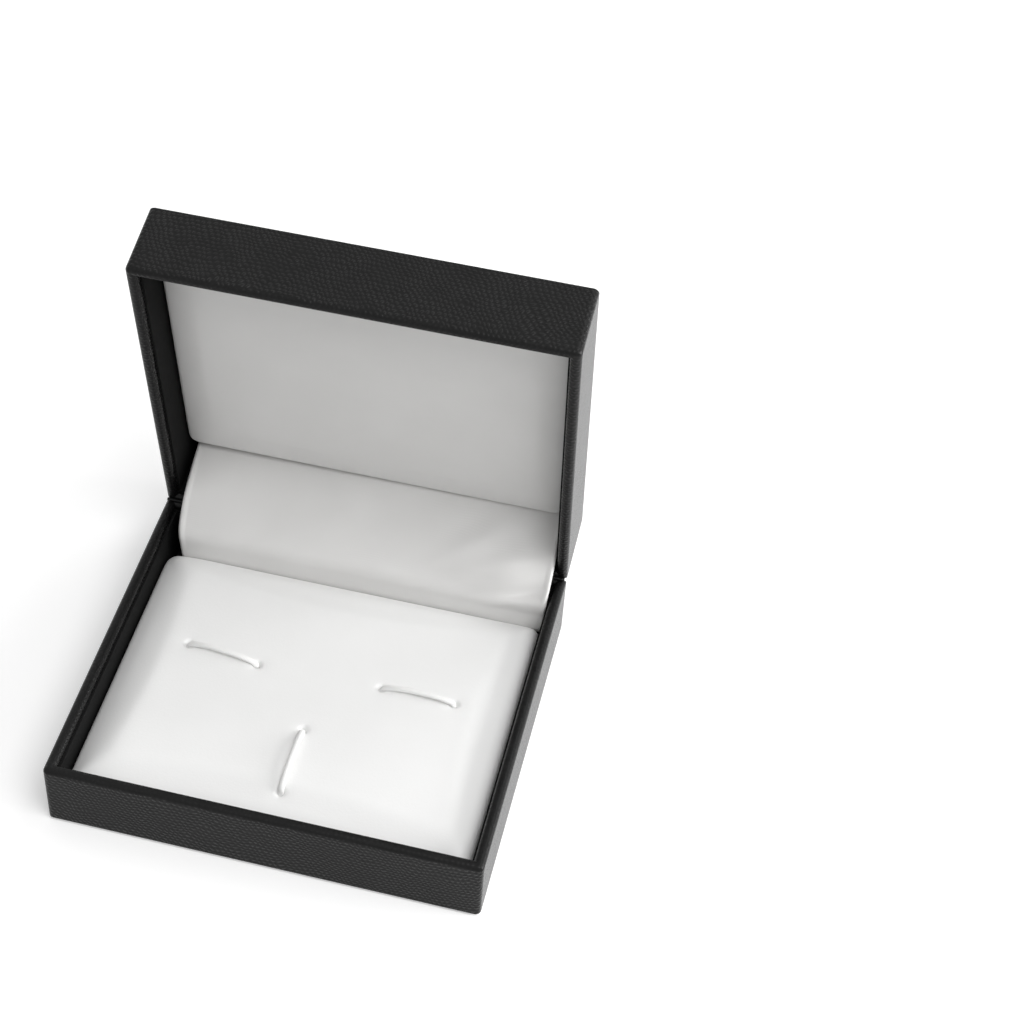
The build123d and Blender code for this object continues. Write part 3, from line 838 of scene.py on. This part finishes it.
def ray_is(tree, *kinds):
    """1 where the ray is one of these kinds, else 0."""
    path = tree.nodes.new("ShaderNodeLightPath")
    total = path.outputs[kinds[0]]
    for kind in kinds[1:]:
        step = tree.nodes.new("ShaderNodeMath")
        step.operation = "MAXIMUM"
        tree.links.new(total, step.inputs[0])
        tree.links.new(path.outputs[kind], step.inputs[1])
        total = step.outputs[0]
    return total


def make_world():
    """White surroundings in direct view and in reflections, dimmer as light on the object."""
    world = bpy.data.worlds.new("studio")
    world.use_nodes = True
    tree = world.node_tree
    seen = ray_is(tree, "Is Camera Ray", "Is Glossy Ray", "Is Transmission Ray")
    strength = tree.nodes.new("ShaderNodeMapRange")
    strength.inputs["To Min"].default_value = AMBIENT
    strength.inputs["To Max"].default_value = 1.0
    tree.links.new(seen, strength.inputs["Value"])
    background = tree.nodes["Background"]
    background.inputs[0].default_value = (1, 1, 1, 1)
    tree.links.new(strength.outputs[0], background.inputs[1])
    bpy.context.scene.world = world


def make_floor():
    """Pale floor, a little mottled, that keeps the object's shadow."""
    def make(bm):
        signs = ((-1, -1), (1, -1), (1, 1), (-1, 1))
        bm.faces.new([bm.verts.new((x * FLOOR_HALF, y * FLOOR_HALF, 0)) for x, y in signs])

    floor = new_object("floor", make)
    graph = Graph("floor")
    place = graph.add("TexCoord").outputs["Object"]
    mottle = graph.noise(place, 9.0, 3.0)
    color = graph.mix(mottle.outputs[0], grey(FLOOR_TONE - 0.01), grey(FLOOR_TONE + 0.01))
    graph.finish(color, 0.9)
    shader = next(n for n in graph.tree.nodes if n.type == "BSDF_PRINCIPLED")
    seen = ray_is(graph.tree, "Is Camera Ray", "Is Glossy Ray")
    glow = graph.math("MULTIPLY", seen, FLOOR_GLOW)
    shader.inputs["Emission Color"].default_value = (1, 1, 1, 1)
    graph.put(shader.inputs["Emission Strength"], glow)
    floor.data.materials.append(graph.material)


def make_lamps():
    """Round soft lamps."""
    for name, place, aim, size, watts in LAMPS:
        light = bpy.data.lights.new(name, "AREA")
        light.shape = "DISK"
        light.size = size
        light.energy = watts
        lamp = bpy.data.objects.new(name, light)
        lamp.location = place
        lamp.rotation_euler = (Vector(aim) - Vector(place)).to_track_quat("-Z", "Y").to_euler()
        bpy.context.scene.collection.objects.link(lamp)


def make_camera():
    """Camera, by its angles and its distance from the point it aims at."""
    azimuth, elevation, roll = map(math.radians, (CAMERA_AZIMUTH, CAMERA_ELEVATION, CAMERA_ROLL))
    back = Vector((math.sin(azimuth) * math.cos(elevation), -math.cos(azimuth) * math.cos(elevation),
                   math.sin(elevation)))
    level = Vector((0, 0, 1)).cross(back).normalized()
    upright = back.cross(level)
    right = math.cos(roll) * level + math.sin(roll) * upright
    up = math.cos(roll) * upright - math.sin(roll) * level
    data = bpy.data.cameras.new("camera")
    data.lens = CAMERA_LENS
    data.sensor_width = 36.0
    data.shift_x, data.shift_y = CAMERA_SHIFT
    data.clip_start = 0.01
    camera = bpy.data.objects.new("camera", data)
    turned = Matrix((right, up, back)).transposed().to_4x4()
    camera.matrix_world = Matrix.Translation(CAMERA_AIM + back * CAMERA_DISTANCE) @ turned
    bpy.context.scene.collection.objects.link(camera)
    bpy.context.scene.camera = camera


# ==== the scene ============================================================================
RIM_BAND = 5 * MM              # the pressed band reaches this far beyond the rim's edge
RIM_TURN = 0.4 * MM            # and starts this far before it


def dress(node, material):
    """Give a drawn piece its material."""
    piece = frame["nodes"][node]
    piece.data.materials.clear()
    piece.data.materials.append(material)


def main():
    make_camera()
    make_world()
    make_floor()
    make_lamps()

    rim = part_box("base_wrap")[1].z
    lid_rim = closed_box("lid_wrap")[0].z
    paper = leatherette("leatherette", 0.0, rim - RIM_TURN, rim + RIM_BAND, depth=0.7)
    lid_paper = leatherette("leatherette_lid", OPEN_ANGLE, lid_rim - RIM_BAND, lid_rim + RIM_TURN)
    black = liner_paper()
    plastic = speckled("shell_plastic", grey(0.015), grey(0.03), 1200.0, 0.5, 0.03 * MM)
    card = speckled("card", (0.30, 0.26, 0.20, 1), (0.42, 0.37, 0.30, 1), 1500.0, 0.9, 0.05 * MM)
    steel = plated_steel("hinge_steel", (0.55, 0.54, 0.52, 1), (0.72, 0.71, 0.69, 1), 0.28)
    spring = plated_steel("spring_steel", (0.40, 0.41, 0.43, 1), (0.55, 0.56, 0.58, 1), 0.32)
    for node, material in (
        ("base_wrap", paper), ("lid_wrap", lid_paper), ("base_liner", black), ("lid_liner", black),
        ("base_shell", plastic), ("lid_shell", plastic), ("underside_sheet", felt()),
        ("pad_board", card), ("lid_panel_board", card), ("base_hinge_leaf", steel), ("lid_hinge_leaf", steel),
        ("base_leaf_rivets", steel), ("lid_leaf_rivets", steel), ("hinge_pin", steel),
    ):
        dress(node, material)

    cloth = satin("satin", OPEN_ANGLE, (0.65, 0.645, 0.635, 1), (0.71, 0.705, 0.695, 1))
    make_pad(white_skin())
    make_lid_panel(cloth)
    make_loops(elastic())
    make_hinge_cover(cloth)
    make_spine(paper)
    make_spring(spring)


bpy.context.scene.view_settings.view_transform = "Standard"
main()
